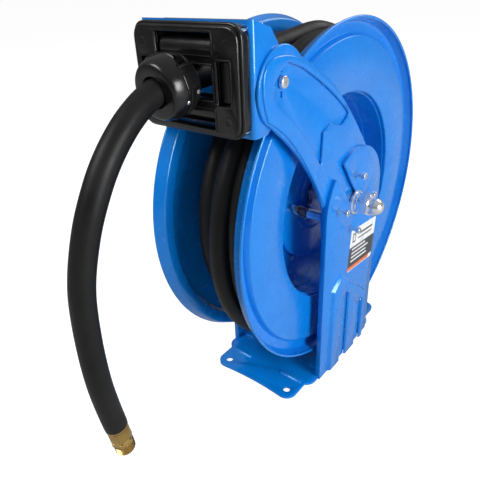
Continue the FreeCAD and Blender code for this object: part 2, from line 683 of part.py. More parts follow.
def outlet_pipe():
    """Steel pipe from the swivel to the hose's inner end on the drum."""
    pipe = rod(13.0, (swivel_out_x, 0, shaft_z + 34.0), (swivel_out_x, 0, shaft_z + 160.4))
    nut = hexagon(34.0, (swivel_out_x, 0, shaft_z + 36.0), (swivel_out_x, 0, shaft_z + 52.0))
    pipe = fused(pipe, nut)
    return pipe.cut(rod(9.0, (swivel_out_x, 0, shaft_z + 33.0), (swivel_out_x, 0, shaft_z + 162.0)))


def wound_hose():
    """Outer shape of the hose wound on the drum: two full layers and a part of a third."""
    r0, r1, r2, r3 = layer_r
    return turned([(-66.5, r0), (-66.5, r1), (-41.0, r1), (-41.0, r2), (16.5, r2), (16.5, r3),
                   (57.5, r3), (57.5, r2 + 3), (66.5, r2), (66.5, r0)])


# ---------------------------------------------------------------- hose end
hose_tip = V(*lead_points[-1])
hose_tip_direction = (hose_tip - V(*lead_points[-2])).normalize()


def route():
    """Hose centreline: half a turn over the back of the reel, the lead to the guide, the tail."""
    step = math.radians(30)
    start = math.radians(-90)
    reach = lead_r / math.cos(0.5 * step)
    points = [V(lead_x, -30.0, shaft_z - lead_r)]
    for k in range(5):
        turn = start + (k + 0.5) * step
        points.append(V(lead_x, reach * math.cos(turn), shaft_z + reach * math.sin(turn)))
    last = math.radians(77.5)
    reach = lead_r / math.cos(math.radians(17.5))
    points.append(V(lead_x, reach * math.cos(last), shaft_z + reach * math.sin(last)))
    return points + [V(*p) for p in lead_points]


def rounded_path(points):
    """Straight runs joined by tangent arcs, each as large as its two runs allow."""
    edges, radii, here = [], [], points[0]
    for before, corner, after in zip(points, points[1:], points[2:]):
        run_in, run_out = corner - before, after - corner
        half_turn = 0.5 * run_in.getAngle(run_out)
        setback = 0.45 * min(run_in.Length, run_out.Length)
        radii.append(setback / math.tan(half_turn))
        start = corner - run_in.normalize() * setback
        end = corner + run_out.normalize() * setback
        inward = (start + end) * 0.5 - corner
        rise = radii[-1] / math.cos(half_turn) - radii[-1]
        middle = corner + inward.normalize() * rise
        if (start - here).Length > 1e-6:
            edges.append(Part.LineSegment(here, start).toShape())
        edges.append(Part.Arc(start, middle, end).toShape())
        here = end
    edges.append(Part.LineSegment(here, points[-1]).toShape())
    return Part.Wire(edges), radii


def hose_tail():
    """Leading turn, run through the guide and hanging tail of the hose, as one tube."""
    points = route()
    path, radii = rounded_path(points)
    start = (points[1] - points[0]).normalize()
    section = Part.Wire(Part.makeCircle(0.5 * hose_od, points[0], start))
    tube = path.makePipeShell([section], True, False, 2)
    area = math.pi * (0.5 * hose_od) ** 2
    print("hose radii, mm:", [round(r) for r in radii])
    print("hose length %.0f mm, volume / (section x length) %.4f, valid %s"
          % (path.Length, tube.Volume / (area * path.Length), tube.isValid()))
    return tube


guide_exit, ball_exit = V(*lead_points[3]), V(*lead_points[4])
ball_along = (ball_exit - guide_exit).normalize()
ball_centre = guide_exit + ball_along * ball_gap


def stopper(upper):
    """Half of the moulded stop ball that keeps the hose end outside the guide."""
    radius, rear, front = 34.0, 18.5, 26.0
    along = ball_along
    side = along.cross(Z_AXIS).normalize()
    up = side.cross(along)
    wire = Part.Wire([
        Part.LineSegment(V(0, 0, -rear), V(25.0, 0, -rear)).toShape(),
        Part.Arc(V(25.0, 0, -rear), V(31.9, 0, -11.0), V(radius, 0, 0)).toShape(),
        Part.Arc(V(radius, 0, 0), V(31.6, 0, 15.0), V(23.0, 0, front)).toShape(),
        Part.LineSegment(V(23.0, 0, front), V(0, 0, front)).toShape(),
        Part.LineSegment(V(0, 0, front), V(0, 0, -rear)).toShape()])
    ball = Part.Face(wire).revolve(V(0, 0, 0), Z_AXIS, 360)
    ball = ball.cut(Part.makeCylinder(0.5 * hose_od - 0.1, 200, V(0, 0, -100), Z_AXIS))
    throat = Part.makeCone(14.4, 21.0, 15.0, V(0, 0, front - 14.0), Z_AXIS)
    ball = ball.cut(throat)
    keep = box((-60, 0.15, -60), (60, 60, 60)) if upper else box((-60, -60, -60), (60, -0.15, 60))
    half = ball.common(keep)
    for x in (-24.0, 24.0):
        half = half.cut(Part.makeCylinder(2.5, 90, V(x, -45, -1), Y_AXIS))
        pocket_y = 12.0 if upper else -45.0
        half = half.cut(Part.makeCylinder(5.0, 33, V(x, pocket_y, -1), Y_AXIS))
    place = FreeCAD.Matrix(side.x, up.x, along.x, ball_centre.x,
                           side.y, up.y, along.y, ball_centre.y,
                           side.z, up.z, along.z, ball_centre.z, 0, 0, 0, 1)
    return half.transformGeometry(place)


def ball_point(x, y, z):
    """A point given in the stop ball's own axes: sideways, up, along the hose."""
    side = ball_along.cross(Z_AXIS).normalize()
    up = side.cross(ball_along)
    return ball_centre + side * x + up * y + ball_along * z


def stopper_screws():
    """Two screws and nuts that clamp the ball's halves on the hose."""
    made = []
    for x in (-24.0, 24.0):
        top, seat, low, end = (tuple(ball_point(x, y, -1)) for y in (16.0, 12.0, -12.0, -16.0))
        made.append(fused(hexagon(8.0, seat, top), rod(2.5, seat, low)))
        made.append(hexagon(8.0, low, end))
    return solids(made)


def along_tip(offset):
    """Point on the fitting's axis, that far past the hose's end."""
    return tuple(hose_tip + hose_tip_direction * offset)


def tip_bar(radius, start, end):
    """Round bar on the fitting's axis, between two distances past the hose's end."""
    return rod(radius, along_tip(start), along_tip(end))


def hose_ferrule():
    """Brass sleeve against the hose's end: a bright collar, a groove and a fluted barrel."""
    sleeve = fused(tip_bar(14.3, 0.0, 2.6), tip_bar(12.2, 2.6, 4.4), tip_bar(13.6, 4.4, 22.0))
    side = hose_tip_direction.cross(X_AXIS).normalize()
    across = side.cross(hose_tip_direction)
    for k in range(24):
        turn = 2 * math.pi * k / 24
        offset = (side * math.cos(turn) + across * math.sin(turn)) * 14.3
        start, end = V(*along_tip(6.5)) + offset, V(*along_tip(20.0)) + offset
        sleeve = sleeve.cut(rod(1.1, tuple(start), tuple(end)))
    return sleeve.cut(tip_bar(8.0, -1.0, 23.0))


def end_fitting():
    """Brass male end: seam ring, flats for a spanner, and a 3/4 in nose at thread size."""
    ring_part, flats = tip_bar(13.0, 22.0, 24.4), hexagon(25.0, along_tip(24.4), along_tip(31.0))
    flats = flats.common(tip_bar(13.6, 24.4, 31.0))
    fitting = fused(ring_part, flats, tip_bar(11.8, 31.0, 32.5), tip_bar(13.2, 32.5, 46.0))
    return fitting.cut(tip_bar(8.0, 21.0, 47.0))


# ---------------------------------------------------------------- write every node
def roller_nodes():
    """The four guide rollers by name."""
    x, z = roller_half, side_roller_half
    up, low = guide_z + roller_z, guide_z - roller_z
    return {
        "roller_top": roller((-x, roller_y, up), (x, roller_y, up), roller_r),
        "roller_bottom": roller((-x, roller_y, low), (x, roller_y, low), roller_r),
        "roller_right": roller((roller_x, roller_y, guide_z - z), (roller_x, roller_y, guide_z + z),
                               side_roller_r),
        "roller_left": roller((-roller_x, roller_y, guide_z - z), (-roller_x, roller_y, guide_z + z),
                              side_roller_r),
    }


def guide_arm_left():
    """The right arm mirrored; its pawl hole stays empty."""
    return mirrored(guide_arm_right())


def nodes():
    """Every piece of the reel, by node name."""
    right_disc = disc_right()
    right_stand = stand_right()
    made = {
        "base_plate": base_plate(), "foot_bolts": foot_bolts(),
        "stand_right": right_stand, "stand_left": mirrored(right_stand),
        "guide_arm_right": guide_arm_right(), "guide_arm_left": guide_arm_left(),
        "hub_screws_right": hub_screws_right(), "hub_screws_left": hub_screws_left(),
        "hub_spacers_right": hub_spacers(1), "hub_spacers_left": hub_spacers(-1),
        "guide_bracket": guide_bracket(), "roller_frame": roller_frame(),
        "roller_cage": roller_cage(), "roller_pins": roller_pins(),
        "cage_screws": cage_screws(), "guide_screw_right": guide_screws(1),
        "guide_screw_left": guide_screws(-1), "main_shaft": main_shaft(),
        "washers_right": flat_washers(1), "washers_left": flat_washers(-1),
        "dome_nut": dome_nut(), "shaft_nut_left": shaft_nut_left(),
        "inlet_elbow": inlet_elbow(), "label_plate": label_plate(),
        "pawl_bolt": pawl_bolt(), "pawl": pawl(), "pawl_spring": pawl_spring(),
        "spring_arbor": spring_arbor(), "disc_right": right_disc, "disc_left": mirrored(right_disc),
        "drum": drum(), "web_right": web_right(), "web_left": web_left(),
        "spring_case": spring_case(), "spring_cover": spring_cover(), "case_bolts": case_bolts(),
        "main_spring": main_spring(), "ratchet_wheel": ratchet_wheel(),
        "bush_right": bush(21.0, 38.0), "bush_left": bush(-30.0, -17.0),
        "swivel_body": swivel_body(), "swivel_seals": swivel_seals(),
        "outlet_pipe": outlet_pipe(), "wound_hose": wound_hose(), "hose_tail": hose_tail(),
        "stopper_upper": stopper(True), "stopper_lower": stopper(False),
        "stopper_screws": stopper_screws(), "hose_ferrule": hose_ferrule(),
        "end_fitting": end_fitting(),
    }
    made.update(roller_nodes())
    return made


os.makedirs("parts", exist_ok=True)
for name, shape in nodes().items():
    shape.exportStep("parts/%s.step" % name)
    print("%-18s solids %d valid %s volume %.0f"
          % (name, len(shape.Solids), shape.isValid(), shape.Volume))
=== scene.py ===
"""Looks for the spring-rewind hose reel: materials for the CAD pieces, the hose, and finer
pieces that stand for some of the CAD nodes. Metres, in the CAD part's own frame."""
import json
import math

import bpy
from mathutils import Matrix, Vector

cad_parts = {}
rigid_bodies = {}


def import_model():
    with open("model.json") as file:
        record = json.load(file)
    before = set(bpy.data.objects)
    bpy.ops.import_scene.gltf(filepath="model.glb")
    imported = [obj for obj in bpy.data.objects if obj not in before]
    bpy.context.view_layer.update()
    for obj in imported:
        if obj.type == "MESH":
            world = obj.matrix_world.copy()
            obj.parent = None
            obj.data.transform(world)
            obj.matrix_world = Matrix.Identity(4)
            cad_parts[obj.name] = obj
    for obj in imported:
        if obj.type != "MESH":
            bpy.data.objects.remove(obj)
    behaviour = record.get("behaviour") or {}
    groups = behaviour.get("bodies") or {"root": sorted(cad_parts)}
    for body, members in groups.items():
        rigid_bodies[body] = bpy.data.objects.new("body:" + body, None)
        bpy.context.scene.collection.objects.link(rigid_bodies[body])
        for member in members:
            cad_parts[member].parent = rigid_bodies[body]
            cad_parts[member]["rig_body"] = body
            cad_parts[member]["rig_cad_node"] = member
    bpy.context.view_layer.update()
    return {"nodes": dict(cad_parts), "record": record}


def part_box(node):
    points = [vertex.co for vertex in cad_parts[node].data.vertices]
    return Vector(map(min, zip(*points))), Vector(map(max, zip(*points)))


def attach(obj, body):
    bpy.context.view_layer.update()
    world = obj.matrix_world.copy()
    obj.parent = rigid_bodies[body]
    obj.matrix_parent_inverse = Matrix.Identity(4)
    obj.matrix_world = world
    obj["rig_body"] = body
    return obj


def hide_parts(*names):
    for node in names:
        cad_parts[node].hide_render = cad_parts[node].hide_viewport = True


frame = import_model()
nodes = frame["nodes"]

AXIS_Z = 0.300             # height of the reel's axis
HOSE_R = 0.0145            # half the hose's outside diameter
ARM_FACE_X = 0.0843        # outer face of a guide arm
GUIDE_Z = 0.516            # height of the roller guide's middle
GUIDE_FACE_Y = -0.2490     # front face of the guide's moulding
TIP = (-0.004, -0.4185, 0.136)         # end of the hose, where the fitting starts


# ---------------------------------------------------------------- shader groups
def put(tree, kind, wires=None, **settings):
    """Adds a node, sets its fields, and fills its inputs with values or other sockets."""
    node = tree.nodes.new("ShaderNode" + kind)
    for key, value in settings.items():
        setattr(node, key, value)
    for socket, source in (wires or {}).items():
        if isinstance(source, bpy.types.NodeSocket):
            tree.links.new(source, node.inputs[socket])
        else:
            node.inputs[socket].default_value = source
    return node


def effect(name, inputs, outputs):
    """Empty node group with named inputs and outputs."""
    tree = bpy.data.node_groups.new(name, "ShaderNodeTree")
    for title, value in inputs:
        socket = tree.interface.new_socket(title, in_out="INPUT", socket_type="NodeSocketFloat")
        socket.default_value = value
    for title in outputs:
        tree.interface.new_socket(title, in_out="OUTPUT", socket_type="NodeSocketFloat")
    return tree, tree.nodes.new("NodeGroupInput"), tree.nodes.new("NodeGroupOutput")


def object_noise(tree, scale, detail=3.0):
    """Noise over Object coordinates."""
    where = put(tree, "TexCoord").outputs["Object"]
    return put(tree, "TexNoise", {"Vector": where, "Scale": scale, "Detail": detail,
                                  "Roughness": 0.55}).outputs["Fac"]


def make_edge_wear():
    """Mask that is 1 on rubbed corners, broken up by noise."""
    tree, given, out = effect("edge_wear", [("Amount", 0.5), ("Scale", 90.0)], ["Mask"])
    corner = put(tree, "MapRange", {"Value": put(tree, "NewGeometry").outputs["Pointiness"],
                                    "From Min": 0.53, "From Max": 0.62}).outputs["Result"]
    broken = put(tree, "MapRange", {"Value": object_noise(tree, given.outputs["Scale"]),
                                    "From Min": 0.42, "From Max": 0.60}).outputs["Result"]
    both = put(tree, "Math", {0: corner, 1: broken}, operation="MULTIPLY").outputs[0]
    worn = put(tree, "Math", {0: both, 1: given.outputs["Amount"]}, operation="MULTIPLY")
    tree.links.new(worn.outputs[0], out.inputs["Mask"])
    return tree


def make_dust():
    """Mask of dust that has settled on faces that look up."""
    tree, given, out = effect("settled_dust", [("Amount", 0.3), ("Scale", 40.0)], ["Mask"])
    normal = put(tree, "SeparateXYZ", {0: put(tree, "NewGeometry").outputs["Normal"]})
    flat = put(tree, "MapRange", {"Value": normal.outputs["Z"], "From Min": 0.3,
                                  "From Max": 1.0}).outputs["Result"]
    cloud = put(tree, "MapRange", {"Value": object_noise(tree, given.outputs["Scale"], 5.0),
                                   "From Min": 0.35, "From Max": 0.75}).outputs["Result"]
    both = put(tree, "Math", {0: flat, 1: cloud}, operation="MULTIPLY").outputs[0]
    dusty = put(tree, "Math", {0: both, 1: given.outputs["Amount"]}, operation="MULTIPLY")
    tree.links.new(dusty.outputs[0], out.inputs["Mask"])
    return tree


def make_mottle():
    """Slow variation between two values, for roughness and shade."""
    tree, given, out = effect("mottle", [("Low", 0.3), ("High", 0.45), ("Scale", 25.0)], ["Value"])
    spread = put(tree, "MapRange", {"Value": object_noise(tree, given.outputs["Scale"], 4.0),
                                    "From Min": 0.3, "From Max": 0.7,
                                    "To Min": given.outputs["Low"],
                                    "To Max": given.outputs["High"]})
    tree.links.new(spread.outputs["Result"], out.inputs["Value"])
    return tree


def make_orange_peel():
    """Height of a sprayed or moulded surface: soft dimples with a finer grain on them."""
    tree, given, out = effect("orange_peel", [("Scale", 350.0), ("Grain", 0.2)], ["Height"])
    soft = object_noise(tree, given.outputs["Scale"], 1.0)
    finer = put(tree, "Math", {0: given.outputs["Scale"], 1: 4.0}, operation="MULTIPLY").outputs[0]
    fine = put(tree, "Math", {0: object_noise(tree, finer, 2.0), 1: given.outputs["Grain"]},
               operation="MULTIPLY").outputs[0]
    height = put(tree, "Math", {0: soft, 1: fine}, operation="ADD")
    tree.links.new(height.outputs[0], out.inputs["Height"])
    return tree


EDGE_WEAR, DUST, MOTTLE, PEEL = make_edge_wear(), make_dust(), make_mottle(), make_orange_peel()


# ---------------------------------------------------------------- materials
def group(tree, which, **values):
    """Places a group in a material with its own values."""
    node = tree.nodes.new("ShaderNodeGroup")
    node.node_tree = which
    for title, value in values.items():
        node.inputs[title].default_value = value
    return node.outputs[0]


def blended(tree, mask, first, second):
    """Colour that goes from first to second by a mask."""
    node = put(tree, "Mix", {"Factor": mask}, data_type="RGBA")
    for socket, source in ((node.inputs[6], first), (node.inputs[7], second)):
        if isinstance(source, bpy.types.NodeSocket):
            tree.links.new(source, socket)
        else:
            socket.default_value = (*source, 1.0)
    return node.outputs[2]


def finish(name, base, shade, worn, rough, metallic=0.0, wear=0.5, wear_scale=90.0,
           dust=0.25, peel=350.0, grain=0.2, bump=0.1, depth=0.0004, mottle=25.0, **sockets):
    """Principled material: shaded base, rubbed edges, settled dust and a surface grain."""
    material = bpy.data.materials.new(name)
    material.use_nodes = True
    tree = material.node_tree
    shader = tree.nodes["Principled BSDF"]
    cloud = group(tree, MOTTLE, Low=0.0, High=1.0, Scale=mottle)
    colour = blended(tree, cloud, base, shade)
    colour = blended(tree, group(tree, EDGE_WEAR, Amount=wear, Scale=wear_scale), colour, worn)
    colour = blended(tree, group(tree, DUST, Amount=dust, Scale=40.0), colour, (0.55, 0.53, 0.50))
    tree.links.new(colour, shader.inputs["Base Color"])
    shine = group(tree, MOTTLE, Low=rough[0], High=rough[1], Scale=mottle * 2.3)
    tree.links.new(shine, shader.inputs["Roughness"])
    height = group(tree, PEEL, Scale=peel, Grain=grain)
    relief = put(tree, "Bump", {"Height": height, "Strength": bump, "Distance": depth})
    tree.links.new(relief.outputs["Normal"], shader.inputs["Normal"])
    shader.inputs["Metallic"].default_value = metallic
    for title, value in sockets.items():
        shader.inputs[title.replace("_", " ")].default_value = value
    return material


PAINT = finish("blue_powder_coat", (0.001, 0.190, 0.68), (0.001, 0.212, 0.74), (0.08, 0.40, 0.86),
               (0.20, 0.30), wear=0.03, dust=0.0, peel=420.0, bump=0.05, Coat_Weight=0.60,
               Coat_Roughness=0.12, Specular_IOR_Level=0.60,
               Specular_Tint=(0.45, 0.90, 1.0, 1.0))
ZINC = finish("zinc_plate", (0.90, 0.91, 0.93), (0.82, 0.83, 0.86), (0.93, 0.94, 0.95),
              (0.16, 0.28), metallic=0.88, wear=0.5, dust=0.02, peel=900.0, bump=0.05)
STEEL = finish("bright_steel", (0.60, 0.60, 0.61), (0.50, 0.50, 0.52), (0.80, 0.80, 0.80),
               (0.26, 0.40), metallic=1.0, wear=0.6, dust=0.08, peel=700.0, bump=0.06)
SPRING = finish("blued_spring_steel", (0.10, 0.11, 0.14), (0.16, 0.16, 0.19), (0.45, 0.45, 0.47),
                (0.30, 0.45), metallic=1.0, wear=0.7, dust=0.10, peel=600.0, bump=0.08)
BLACK = finish("black_moulded_plastic", (0.0035, 0.0035, 0.0038), (0.009, 0.009, 0.010),
               (0.05, 0.05, 0.05), (0.15, 0.26), wear=0.12, dust=0.002, peel=800.0, grain=0.5,
               bump=0.14, Specular_IOR_Level=0.5)
BRASS = finish("turned_brass", (0.60, 0.41, 0.13), (0.48, 0.31, 0.09), (0.88, 0.68, 0.34),
               (0.14, 0.26), metallic=1.0, wear=0.5, dust=0.04, peel=900.0, bump=0.05)
BRONZE = finish("bushing_bronze", (0.62, 0.42, 0.24), (0.52, 0.34, 0.18), (0.80, 0.60, 0.40),
                (0.30, 0.46), metallic=1.0, wear=0.5, dust=0.05, peel=700.0, bump=0.06)
RUBBER = finish("hose_rubber", (0.006, 0.006, 0.0065), (0.011, 0.011, 0.0115), (0.05, 0.05, 0.05),
                (0.38, 0.52), wear=0.1, dust=0.006, peel=500.0, grain=0.6, bump=0.20,
                mottle=18.0, Specular_IOR_Level=0.22)
LABEL = finish("label_film", (0.82, 0.83, 0.84), (0.76, 0.77, 0.79), (0.6, 0.6, 0.6),
               (0.24, 0.34), wear=0.2, dust=0.05, peel=700.0, bump=0.04)
LABEL_DARK = finish("label_dark_ink", (0.035, 0.037, 0.042), (0.050, 0.052, 0.058),
                    (0.2, 0.2, 0.2), (0.28, 0.38), wear=0.1, dust=0.04, peel=700.0, bump=0.04)
LABEL_ORANGE = finish("label_orange_ink", (0.72, 0.17, 0.05), (0.64, 0.14, 0.04), (0.8, 0.5, 0.4),
                      (0.28, 0.38), wear=0.1, dust=0.04, peel=700.0, bump=0.04)

SLOT_MATERIALS = {"blue_paint": PAINT, "zinc": ZINC, "steel": STEEL, "spring_steel": SPRING,
                  "black_plastic": BLACK, "brass": BRASS, "bronze": BRONZE, "rubber": RUBBER,
                  "label": LABEL}


def dress(piece, material):
    """Gives a whole piece one material."""
    piece.data.materials.clear()
    piece.data.materials.append(material)


for entry in frame["record"]["subparts"]:
    dress(nodes[entry["node"]], SLOT_MATERIALS[entry["material_slot"]])


# ---------------------------------------------------------------- camera
def place_camera():
    """Camera in front of the reel, a little above it, on the dome nut's side."""
    azimuth, elevation, roll = math.radians(39.9), math.radians(28.9), math.radians(-2.8)
    back = Vector((math.sin(azimuth) * math.cos(elevation),
                   -math.cos(azimuth) * math.cos(elevation), math.sin(elevation)))
    right = (-back).cross(Vector((0, 0, 1))).normalized()
    up = right.cross(-back)
    turned_right = right * math.cos(roll) + up * math.sin(roll)
    turned_up = -right * math.sin(roll) + up * math.cos(roll)
    data = bpy.data.cameras.new("camera")
    data.sensor_width = 36.0
    data.lens = 36.54
    camera = bpy.data.objects.new("camera", data)
    rows = Matrix((turned_right, turned_up, back)).transposed().to_4x4()
    rows.translation = Vector((0.3893, -0.6342, 0.6167))
    camera.matrix_world = rows
    bpy.context.scene.collection.objects.link(camera)
    bpy.context.scene.camera = camera


place_camera()


# ---------------------------------------------------------------- the hose's free end
def hose_route():
    """The route's points: half a turn round the reel, over the roller guide and down."""
    points = [(0.001, -0.030, 0.064)]
    for degrees in (-75, -45, -15, 15, 45):
        a, r = math.radians(degrees), 0.236 / math.cos(math.radians(15))
        points.append((0.001, r * math.cos(a), AXIS_Z + r * math.sin(a)))
    a, r = math.radians(77.5), 0.236 / math.cos(math.radians(17.5))
    points.append((0.001, r * math.cos(a), AXIS_Z + r * math.sin(a)))
    return points + [
        (0.001, -0.060, 0.5300), (0.001, -0.150, 0.5218), (0.001, -0.205, 0.5176),
        (0.001, -0.246, 0.5171), (0.000, -0.292, 0.5136), (0.005, -0.334, 0.4960),
        (0.007, -0.372, 0.4620), (0.005, -0.396, 0.4220), (0.001, -0.408, 0.3900),
        (-0.003, -0.421, 0.3430), (-0.005, -0.425, 0.2960), (-0.005, -0.427, 0.2410),
        (-0.005, -0.425, 0.1870), TIP]


def tube_along(name, points, radius, order=3, bends=12):
    """Round tube on a NURBS spline with these control points."""
    data = bpy.data.curves.new(name, "CURVE")
    data.dimensions = "3D"
    spline = data.splines.new("NURBS")
    spline.points.add(len(points) - 1)
    for point, (x, y, z) in zip(spline.points, points):
        point.co = (x, y, z, 1.0)
    spline.order_u = order
    spline.use_endpoint_u = True
    spline.resolution_u = bends
    data.bevel_depth = radius
    data.bevel_resolution = 6
    data.use_fill_caps = True
    piece = bpy.data.objects.new(name, data)
    bpy.context.scene.collection.objects.link(piece)
    dress(piece, RUBBER)
    return piece


hose = tube_along("hose_free_end", hose_route(), HOSE_R)
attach(hose, "frame")
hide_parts("hose_tail")
# ---------------------------------------------------------------- modelling helpers
def clear_selection():
    """Leaves edit mode and selects nothing."""
    if bpy.context.object and bpy.context.object.mode != "OBJECT":
        bpy.ops.object.mode_set(mode="OBJECT")
    bpy.ops.object.select_all(action="DESELECT")


def take(piece):
    """Makes a piece the only selected and active one."""
    clear_selection()
    piece.select_set(True)
    bpy.context.view_layer.objects.active = piece


def edit_all(piece):
    """Opens a piece in edit mode with its whole mesh selected."""
    take(piece)
    bpy.ops.object.mode_set(mode="EDIT")
    bpy.ops.mesh.select_all(action="SELECT")


def closed_up(piece):
    """Merges doubles and turns the faces outwards."""
    edit_all(piece)
    bpy.ops.mesh.remove_doubles(threshold=0.000005)
    bpy.ops.mesh.normals_make_consistent(inside=False)
    bpy.ops.object.mode_set(mode="OBJECT")


def placed(piece, matrix):
    """Moves a piece to its place and applies that to its mesh."""
    piece.matrix_world = matrix @ piece.matrix_world
    take(piece)
    bpy.ops.object.transform_apply(location=True, rotation=True, scale=True)
    return piece


def modified(piece, kind, **settings):
    """Adds a modifier and applies it."""
    take(piece)
    modifier = piece.modifiers.new(kind.lower(), kind)
    for key, value in settings.items():
        setattr(modifier, key, value)
    bpy.ops.object.modifier_apply(modifier=modifier.name)


def eased(piece, width, segments=2, angle=38):
    """Rounds a piece's sharp edges."""
    modified(piece, "BEVEL", width=width, segments=segments, limit_method="ANGLE",
             angle_limit=math.radians(angle), use_clamp_overlap=True, harden_normals=False)


def finished(piece, name, material, body, slot, *stands_for, smooth=35):
    """Names, shades and dresses a piece, and rides it on its body."""
    piece.name = name
    take(piece)
    bpy.ops.object.shade_smooth_by_angle(angle=math.radians(smooth))
    dress(piece, material)
    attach(piece, body)
    if stands_for:
        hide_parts(*stands_for)
    return piece


def joined(*pieces):
    """Joins several pieces into the first."""
    take(pieces[0])
    for piece in pieces[1:]:
        piece.select_set(True)
    bpy.ops.object.join()
    return pieces[0]


def turned_piece(profile, matrix, sides=96, loop=False):
    """Lathe work: a circle at the first (distance, radius), extruded and resized by the rest.
    A loop goes back to the first point, which closes the solid."""
    clear_selection()
    along, radius = profile[0]
    bpy.ops.mesh.primitive_circle_add(vertices=sides, radius=radius, location=(0, 0, along))
    piece = bpy.context.active_object
    bpy.ops.object.mode_set(mode="EDIT")
    bpy.ops.mesh.select_all(action="SELECT")
    for (last, old), (here, new) in zip(profile, profile[1:] + (profile[:1] if loop else [])):
        bpy.ops.mesh.extrude_edges_move(TRANSFORM_OT_translate={"value": (0, 0, here - last)})
        if new != old:
            bpy.ops.transform.resize(value=(new / old, new / old, 1.0),
                                     center_override=(0, 0, here))
    bpy.ops.object.mode_set(mode="OBJECT")
    placed(piece, matrix)
    closed_up(piece)
    return piece


NEARLY_STRAIGHT = 1.55     # half an outline's angle, past which a corner is left as it is


def rounded(corners, radius, steps=5):
    """A flat outline's points with every corner rounded."""
    points = []
    for k, corner in enumerate(corners):
        here = Vector(corner)
        before, after = Vector(corners[k - 1]), Vector(corners[(k + 1) % len(corners)])
        a, b = (before - here).normalized(), (after - here).normalized()
        half = 0.5 * a.angle(b)
        if half > NEARLY_STRAIGHT:
            points.append(here)
            continue
        cut = min(radius / math.tan(half), 0.49 * (before - here).length,
                  0.49 * (after - here).length)
        for s in range(steps + 1):
            t = s / steps
            points.append((here + a * cut) * (1 - t) ** 2 + here * 2 * t * (1 - t)
                          + (here + b * cut) * t ** 2)
    return points


def rectangle(x, y, half_x, half_y):
    """Corners of an upright rectangle."""
    return [(x - half_x, y - half_y), (x + half_x, y - half_y),
            (x + half_x, y + half_y), (x - half_x, y + half_y)]


def cut_sheet(outlines, thickness, edge, matrix):
    """Flat sheet with holes and rounded edges, centred on its own plane."""
    data = bpy.data.curves.new("outline", "CURVE")
    data.dimensions = "2D"
    data.fill_mode = "BOTH"
    data.extrude = 0.5 * thickness - edge
    data.bevel_depth = edge
    data.bevel_resolution = 2
    data.offset = -edge
    for points in outlines:
        spline = data.splines.new("POLY")
        spline.points.add(len(points) - 1)
        for point, (x, y) in zip(spline.points, points):
            point.co = (x, y, 0, 1)
        spline.use_cyclic_u = True
    piece = bpy.data.objects.new("sheet", data)
    bpy.context.scene.collection.objects.link(piece)
    take(piece)
    bpy.ops.object.convert(target="MESH")
    piece = bpy.context.active_object
    placed(piece, matrix)
    closed_up(piece)
    return piece


REEL_AXIS = Matrix.Translation((0, 0, AXIS_Z)) @ Matrix.Rotation(math.radians(90), 4, "Y")
FRONT = Matrix.Rotation(math.radians(90), 4, "X")      # a sheet's own X and Y become X and Z


# ---------------------------------------------------------------- softened CAD pieces
def body_of_node(name):
    """The body that a CAD node belongs to."""
    for body, members in frame["record"]["behaviour"]["bodies"].items():
        if name in members:
            return body


def slot_of_node(name):
    """The material slot that a CAD node takes its finish from."""
    for entry in frame["record"]["subparts"]:
        if entry["node"] == name:
            return entry["material_slot"]


def softened_node(node, width, name, angle=38):
    """A merged copy of a CAD node with its sharp edges rounded off, standing for the node."""
    piece = nodes[node].copy()
    piece.data = nodes[node].data.copy()
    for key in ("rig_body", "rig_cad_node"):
        del piece[key]
    piece.parent = None
    bpy.context.scene.collection.objects.link(piece)
    edit_all(piece)
    bpy.ops.mesh.remove_doubles(threshold=0.000002)
    bpy.ops.mesh.dissolve_limited(angle_limit=math.radians(1.5))
    bpy.ops.object.mode_set(mode="OBJECT")
    eased(piece, width, 2, angle)
    slot = slot_of_node(node)
    return finished(piece, name, SLOT_MATERIALS[slot], body_of_node(node), slot, node, smooth=32)


for node, width, name in (
        ("stand_right", 0.0012, "right_stand_pressing"),
        ("stand_left", 0.0012, "left_stand_pressing"),
        ("guide_bracket", 0.0009, "guide_channel"), ("base_plate", 0.0011, "footed_base"),
        ("dome_nut", 0.0006, "chromed_dome_nut"), ("hose_ferrule", 0.0003, "fluted_ferrule"),
        ("inlet_elbow", 0.0008, "inlet_elbow_casting"), ("shaft_nut_left", 0.0006, "lock_nut")):
    softened_node(node, width, name)


def swept_outline(start, steps):
    """Points along lines and three-point arcs, given in millimetres, in metres."""
    points = [Vector(start)]
    for step in steps:
        if not isinstance(step[0], tuple):
            points.append(Vector(step))
            continue
        here, through, end = points[-1], Vector(step[0]), Vector(step[1])
        bulge = through - (here + end) / 2
        for k in range(1, 11):
            t = k / 10
            points.append(here * (1 - t) + end * t + bulge * 4 * t * (1 - t))
    return [point / 1000 for point in points]


def raised_arm(node, name, side):
    """A guide arm whose face is raised all round its sunk panel, with full round edges."""
    skin = swept_outline((80, 318), [((23, 395), (-68, 484)), ((-105, 507), (-149, 530)),
                                     ((-215, 531), (-214, 472)), ((-149, 417), (-81, 318)),
                                     ((0, 219), (80, 318))])[:-1]
    panel = swept_outline((-176, 529), [((-203, 506), (-189, 482)), ((-142, 441), (-97, 386)),
                                        (-94, 432), (-73, 438), (-45, 429), (-25, 440),
                                        ((-80, 481), (-147, 519))])
    side_on = Matrix(((0, 0, 1, side * ARM_FACE_X), (1, 0, 0, 0), (0, 1, 0, 0), (0, 0, 0, 1)))
    face = cut_sheet([skin, rounded(panel, 0.0045, 4)], 0.0044, 0.0021, side_on)
    dress(face, PAINT)
    arm = softened_node(node, 0.0009, name)
    joined(arm, face)
    take(arm)
    bpy.ops.object.shade_smooth_by_angle(angle=math.radians(32))


raised_arm("guide_arm_right", "right_arm_pressing", 1)
raised_arm("guide_arm_left", "left_arm_pressing", -1)


